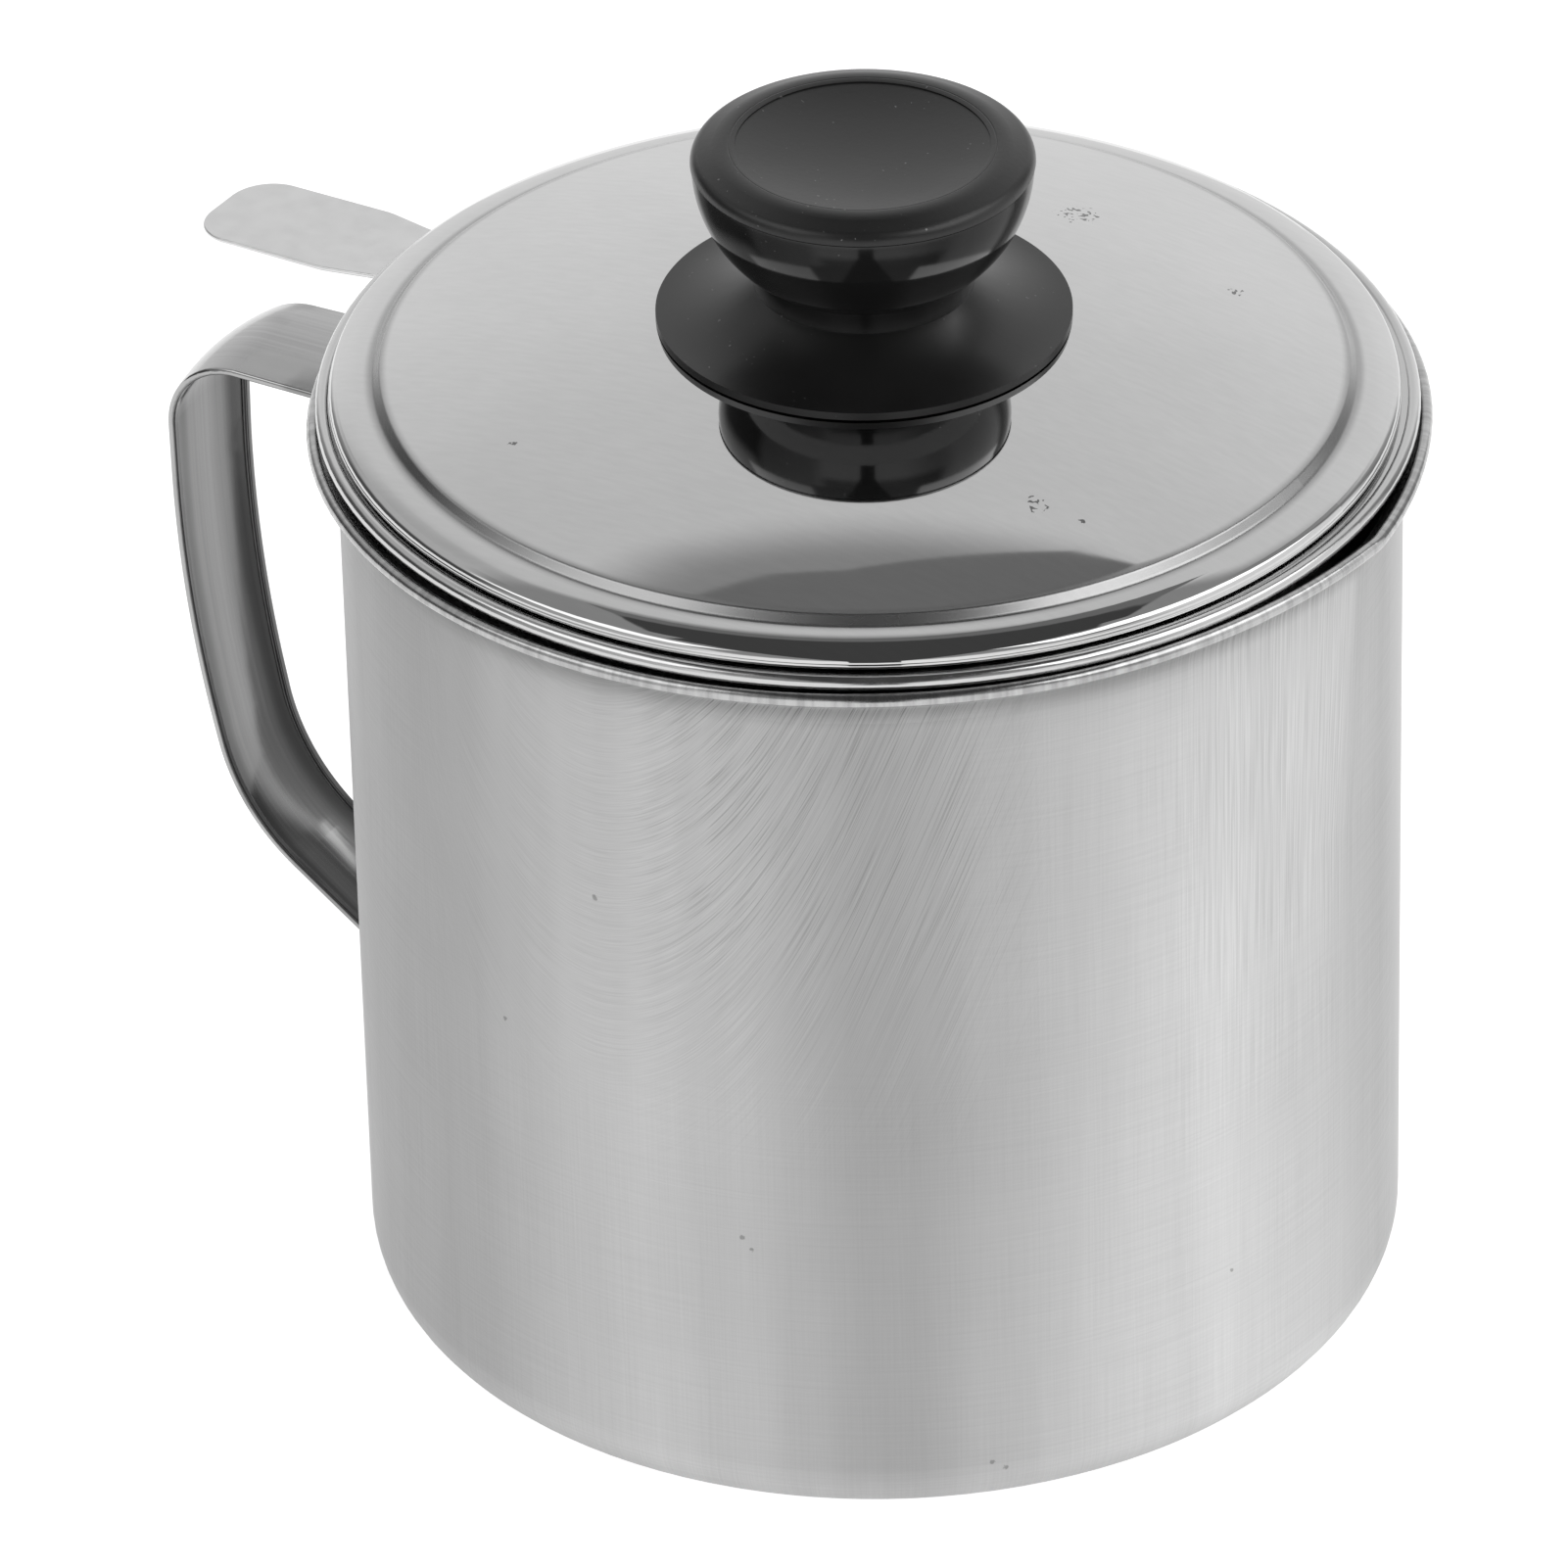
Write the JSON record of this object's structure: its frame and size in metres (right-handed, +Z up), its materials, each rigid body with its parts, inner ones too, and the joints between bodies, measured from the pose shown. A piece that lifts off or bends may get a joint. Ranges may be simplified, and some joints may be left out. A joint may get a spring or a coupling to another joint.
{
  "type": "bacon grease container",
  "caption": "Steel grease can with a strap handle, a pouring lip, a drop-in strainer basket with a lifting tab, and a loose domed lid with a plastic knob.",
  "frame": {"origin": "on the can's axis, at the underside of its base", "axes": "+Z up along the can's axis, +X towards the pouring lip, the handle at -X"},
  "size_m": [0.1542, 0.1264, 0.1453],
  "materials": {
    "can_steel": "satin brushed stainless steel",
    "handle_steel": "polished stainless steel strap",
    "strainer_steel": "bright stainless sheet",
    "mesh_steel": "woven stainless wire",
    "lid_steel": "mirror polished stainless steel",
    "knob_plastic": "black phenolic moulding",
    "insert_brass": "turned brass",
    "screw_steel": "zinc plated"
  },
  "bodies": {
    "can": {"can_body": "can_steel", "handle": "handle_steel"},
    "strainer": {"strainer_bowl": "strainer_steel", "strainer_mesh": "mesh_steel", "mesh_ring": "strainer_steel", "strainer_tab": "strainer_steel"},
    "lid": {"lid_shell": "lid_steel", "knob_skirt": "knob_plastic", "knob_body": "knob_plastic", "knob_cap": "knob_plastic", "knob_insert": "insert_brass", "screw_washer": "screw_steel", "lid_screw": "screw_steel"}
  },
  "joints": [
    {"name": "strainer_lift", "type": "slide", "parent": "can", "child": "strainer", "axis": [0, 0, 1], "range_m": [0, 0.06]},
    {"name": "lid_lift", "type": "slide", "parent": "strainer", "child": "lid", "axis": [0, 0, 1], "range_m": [0, 0.05]}
  ]
}
